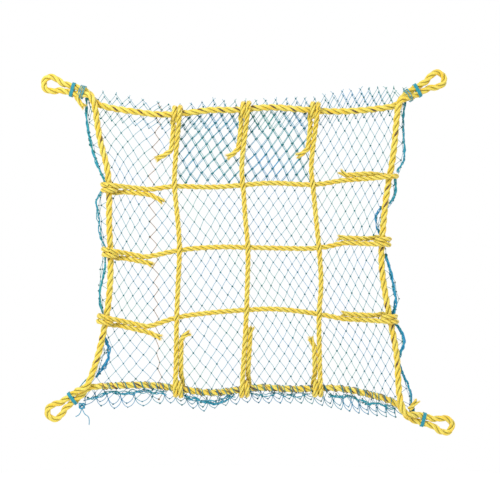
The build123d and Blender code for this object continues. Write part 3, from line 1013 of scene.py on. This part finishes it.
def hanging_bar(twine, low, high, hue):
    """Half of a mesh that hangs in a rounded loop at the bottom edge."""
    share = shares(7)
    bow = np.array((high[0] - low[0], 0, low[2] - high[2])) * LOOP_BOW
    line = low + (high - low) * share + share * (1 - share) * 2 * bow
    twine.thread(line, LOOP_R, min(1.0, hue + 0.3), 0.3)


def gather(places, middle, edge, side):
    """Draw the meshes that lie outside the border rope together along their outer edge."""
    rope = np.array(sorted((z, x) for x, _, z in middle))
    rim = np.array(sorted((z, x) for x, z in edge))
    x, z = places[..., 0], places[..., 1]
    outside = (x - np.interp(z, rope[:, 0], rope[:, 1])) * side > 0
    edge_x = np.interp(z, rim[:, 0], rim[:, 1])
    places[..., 0] = np.where(outside, edge_x + (x - edge_x) * GATHERED, x)


def lattice(places):
    """Points in mm from a lattice's x and z, with the netting's own unevenness from front to back."""
    depth = NET_Y + random.normal(0, UNEVEN_DEPTH, places.shape[:2])
    return np.stack([places[..., 0], depth, places[..., 1]], axis=-1)


def rim(middle, side, low, high):
    """An upright line a little outside one side of the border rope, between two corners of the netting."""
    points = [(x + RIM_OUT * side, z) for x, _, z in middle]
    return sorted([low, *points, high], key=lambda point: point[1])


def make_netting():
    left, right, seam = Twine(), Twine(), Twine()
    left_rim = rim(LEFT_MIDDLE, -1, LEFT_EDGE[0], LEFT_EDGE[-1])
    right_rim = rim(RIGHT_MIDDLE, 1, RIGHT_EDGE[0], RIGHT_EDGE[-1])
    places = knot_places(left_rim, SEAM_LINE, LEFT_COLUMNS, -CROWDING)
    places += wander(places) + random.normal(0, UNEVEN, places.shape)
    right_places = knot_places(SEAM_LINE, right_rim, RIGHT_COLUMNS, CROWDING)
    right_places += wander(right_places) + random.normal(0, UNEVEN, right_places.shape)
    right_places[0] = places[-1]
    gather(places, LEFT_MIDDLE, LEFT_EDGE, -1)
    gather(right_places, RIGHT_MIDDLE, RIGHT_EDGE, 1)
    halves = ((left, places, LEFT_COLUMNS % 2, False), (right, right_places, 0, True))
    for twine, points, first, brown in halves:
        at = lattice(points)
        make_mesh(twine, seam, at, first, brown, np.ones(at.shape[:2], bool))
        edges = np.zeros(at.shape[:2], bool)
        edges[:, :EDGE_ROWS[0]] = True
        edges[:, -EDGE_ROWS[1]:] = True
        for shift in EDGE_LAYERS:
            make_mesh(twine, seam, at + shift, first, False, edges, EDGE_R)
    x, z = at[..., 0], at[..., 2]
    doubled = (x > DOUBLED_X[0]) & (x < DOUBLED_X[1]) & (z > DOUBLED_Z[0]) & (z < DOUBLED_Z[1])
    for shift in DOUBLED_LAYERS:
        make_mesh(right, seam, at + shift, 0, False, doubled)
    return left, right, seam


# ---------------- gathered twine at the edges
BUNDLES = [  # side, twines, spread, hue, depth, and the route's x and z
    ("left", 6, 2.2, 0.35, 3.0, [(-289, 272), (-290, 245), (-287, 215), (-281, 185), (-272, 155), (-261, 130),
                                 (-250, 113)]),
    ("left", 3, 3.2, 0.6, 4.0, [(-262, 106), (-271, 92), (-270, 60), (-264, 20), (-257, -2)]),
    ("left", 5, 2, 0.3, 3, [(-255, -12), (-256, -30), (-258, -50), (-266, -76), (-266, -100),
                                (-260, -116)]),
    ("left", 7, 3.2, 0.95, 6.0, [(-260, -156), (-252, -170), (-248, -188), (-252, -206), (-262, -220),
                                 (-272, -232)]),
    ("left", 2, 0.8, 0.3, 2.0, [(-276, -222), (-288, -234), (-298, -246), (-305, -256)]),
    ("right", 5, 2.0, 0.5, 3.0, [(287, 268), (281, 245), (282, 205), (285, 172), (281, 150), (271, 140)]),
    ("right", 6, 2.0, 0.3, 2.0, [(266, 124), (269, 108), (266, 92), (257, 80)]),
    ("right", 5, 2.6, 0.95, 6.0, [(242, 76), (234, 62), (231, 48), (236, 34), (240, 26)]),
    ("right", 8, 3.0, 0.75, 3.0, [(250, -12), (256, -34), (262, -58), (268, -84), (268, -104), (262, -122)]),
    ("right", 6, 2.6, 0.7, 3.0, [(266, -134), (278, -148), (285, -168), (278, -186), (272, -202)]),
    ("right", 7, 2.4, 0.6, 3.0, [(274, -208), (281, -225), (290, -248), (298, -272), (297, -292)]),
    ("left", 4, 5.0, 0.4, 5.0, [(-288, -270), (-250, -262), (-200, -259), (-146, -260)]),
    ("right", 6, 5.5, 0.6, 5.0, [(-114, -266), (-88, -276), (-62, -280), (-36, -271), (-22, -266)]),
    ("right", 3, 4.5, 0.4, 5.0, [(6, -263), (60, -265), (114, -265)]),
    ("right", 4, 5.0, 0.4, 5.0, [(148, -264), (200, -271), (262, -290)]),
]
TANGLES = [  # side, size, turns, hue, place
    ("left", 8.0, 16, 0.7, (-297, -2, -284)),
    ("right", 7.0, 14, 0.6, (297, 0, -292)),
    ("left", 3.0, 6, 0.2, (-253, -8, 114)),
    ("left", 3.0, 6, 0.2, (-253, -8, -1)),
    ("right", 3.0, 5, 0.4, (271, -5, 138)),
]
LOOSE_THREADS = [
    [(-297, -3, -286), (-293, -6, -298), (-285, -5, -302), (-283, -4, -310), (-284, -3, -318)],
    [(-297, -3, -288), (-299, -5, -296), (-303, -5, -301), (-308, -4, -303)],
]
BUNDLE_STEP = 2.0
BUNDLE_WAVES = ((58.0, 0.6), (24.0, 0.3), (11.0, 0.12))  # wavelength, and size over the bundle's spread
BUNDLE_KNOTS = 45.0  # a twine has a knot about this often
STITCH_R = 1.45
STITCH_HALF = 4  # samples either side of a stitch's middle
NO_STITCH = (268.0, 230.0, 28.0)  # none beyond this x and z, in the eyes, or this near to a fold
LASHED = (-238.0, 262.0)  # twine is wound round the rope below this height and as far out as this
LASHINGS = (  # whether it is teal, pitch, radius and start
    (True, 13.0, 0.75, 0.0), (False, 21.0, 0.85, 2.0), (True, 17.0, 0.5, 4.0),
)
LEG_TURNS_AT = (11.0, 17.0)
LEG_TURNS_OUT = BORDER_R + LEG_TWIST + 0.9
SEIZING_R = 0.62


def bundle(twine, count, spread, hue, y, route):
    """Gathered twines that run together along a route and cross over one another, with knots among them."""
    line = smooth_line([(x, y, z) for x, z in route], BUNDLE_STEP)
    along = np.arange(len(line)) * BUNDLE_STEP
    for _ in range(count):
        offset = np.zeros_like(line)
        for wavelength, size in BUNDLE_WAVES:
            phase = random.uniform(0, 6, 3)
            wave = 2 * math.pi * along[:, None] / (wavelength * random.uniform(0.8, 1.2))
            offset += spread * size * np.sin(wave + phase)
        colour = float(np.clip(hue + random.normal(0, 0.15), 0, 1))
        twine.thread(line + offset, random.uniform(0.6, 1.1), colour, random.uniform(0, 0.2), guide=None)
        for spot in random.integers(0, len(line), int(along[-1] / BUNDLE_KNOTS)):
            twine.knot((line + offset)[spot], 1.3, colour)


def tangle(twine, size, turns, hue, centre):
    """A knotted clump of twine."""
    t = np.linspace(0, 2 * math.pi, turns * 12)
    for _ in range(2):
        rates = random.integers(2, turns // 2 + 2, 3)
        phases = random.uniform(0, 6, 3)
        line = np.array(centre) + 0.6 * size * np.sin(t[:, None] * rates + phases) * (1, 0.7, 1)
        twine.thread(line, 0.85, hue, 0.2, guide=None)


def leg_turns(twine, corner, count):
    """A few loose turns of twine round both legs of a corner eye."""
    out = LEG_TURNS_OUT
    for _ in range(count):
        t = np.linspace(0, 2 * math.pi * random.uniform(1.1, 1.6), 50) + random.uniform(0, 6)
        reach = random.uniform(*LEG_TURNS_AT) + np.linspace(0, random.uniform(-4.0, 5.0), 50)
        points = zip(reach, out * np.cos(t), LEG_MID_Y + out * np.sin(t))
        line = [corner_point(corner, *point) for point in points]
        twine.thread(line, 0.75, random.uniform(0.2, 0.5), 0.1, guide=corner_out(corner))


def stitches(twine, rope):
    """Seam twine that goes in and out between the strands of the border rope, every few centimetres."""
    most_x, most_z, near_fold = NO_STITCH
    spot = 20.0
    while spot < rope.along[-1] - 20.0:
        k = int(np.searchsorted(rope.along, spot))
        spot += random.uniform(26.0, 44.0)
        x, _, z = rope.line[k]
        if abs(x) > most_x and abs(z) > most_z or min(abs(z - fold) for fold in FOLDS) < near_fold:
            continue
        part = slice(max(k - STITCH_HALF, 0), k + STITCH_HALF + 1)
        grooves = (2 * np.arange(STRANDS) + 1) * math.pi / STRANDS
        turned = rope.turn[k] + grooves
        facing = np.cos(turned) * rope.normals[k, 1] + np.sin(turned) * rope.across[k, 1]
        angle = (rope.turn[part] + grooves[np.argmin(facing)])[:, None]
        out = np.cos(angle) * rope.normals[part] + np.sin(angle) * rope.across[part]
        reach = BORDER_R * (0.3 + 0.52 * np.sin(math.pi * shares(len(out))))
        twine.thread(rope.line[part] + reach * out, STITCH_R, 0.5, 1.0, sides=7, guide=out)


def lash_bottom(teal, brown, rope):
    """Twine wound round the bottom of the border rope, which binds the netting's edge to it."""
    x, z = rope.line[:, 0], rope.line[:, 2]
    wound = np.flatnonzero((z < LASHED[0]) & (np.abs(x) < LASHED[1]))
    along = rope.along[wound] - rope.along[wound[0]]
    for in_teal, pitch, radius, start in LASHINGS:
        fine = np.linspace(along[0], along[-1], int(along[-1] / 0.9))
        angle = (2 * math.pi * (fine / pitch + 0.3 * np.sin(fine / 31 + start)) + start)[:, None]
        middle, normal, across = (
            np.stack([np.interp(fine, along, part[wound][:, axis]) for axis in range(3)], axis=1)
            for part in (rope.line, rope.normals, rope.across)
        )
        out = unit(np.cos(angle) * normal + np.sin(angle) * across)
        twine = teal if in_teal else brown
        twine.thread(middle + (BORDER_R + 0.3) * out, radius, 0.4, 0.6, guide=out)


left_twine, right_twine, seam_twine = make_netting()
SIDES = {"left": left_twine, "right": right_twine}
for side, *rest in BUNDLES:
    bundle(SIDES[side], *rest)
for side, *rest in TANGLES:
    tangle(SIDES[side], *rest)
for route in LOOSE_THREADS:
    left_twine.thread(smooth_line(route, 1.5), 0.8, 0.7, 0.2, guide=None)
leg_turns(left_twine, "top_left", 3)
leg_turns(right_twine, "top_right", 3)
stitch_twine, lashing_twine = Twine(), Twine()
stitches(stitch_twine, border)
lash_bottom(lashing_twine, stitch_twine, border)
left_twine.build("left_net_{}", NETTING, "netting_twine", "left_netting_{}")
right_twine.build("right_net_{}", NETTING, "netting_twine", "right_netting_{}")
seam_twine.build("seam_lacing_{}", SEAM, "seam_twine", "netting_seam_{}")
stitch_twine.build("border_stitches_{}", SEAM, "seam_twine")
lashing_twine.build("edge_lashing_{}", NETTING, "netting_twine")


def make_seizing(corner):
    """Netting twine wound round both legs of a corner eye."""
    turns = np.linspace(0, SEIZING_TURNS * 2 * math.pi, SEIZING_TURNS * 40)
    reach = SEIZING_FROM + SEIZING_LENGTH * turns / turns[-1]
    out = BORDER_R + 0.7
    side = np.sign(np.cos(turns)) * LEG_SIDE + out * np.cos(turns)
    line = np.array([corner_point(corner, *point) for point in zip(reach, side, out * np.sin(turns))])
    rings = tube_rings(line, SEIZING_R, 6, np.array(corner_out(corner)))
    along = np.arange(len(line))[:, None] / 2.0
    builder = Builder()
    builder.tube(rings, twine_values(round_angles(6) + along, along, 0.4, 0.2))
    piece = builder.build(f"{corner}_seizing_turns", NETTING)
    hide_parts(f"{corner}_seizing")
    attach(piece, "head" if corner.startswith("top") else "foot")


for corner in CORNERS:
    make_seizing(corner)
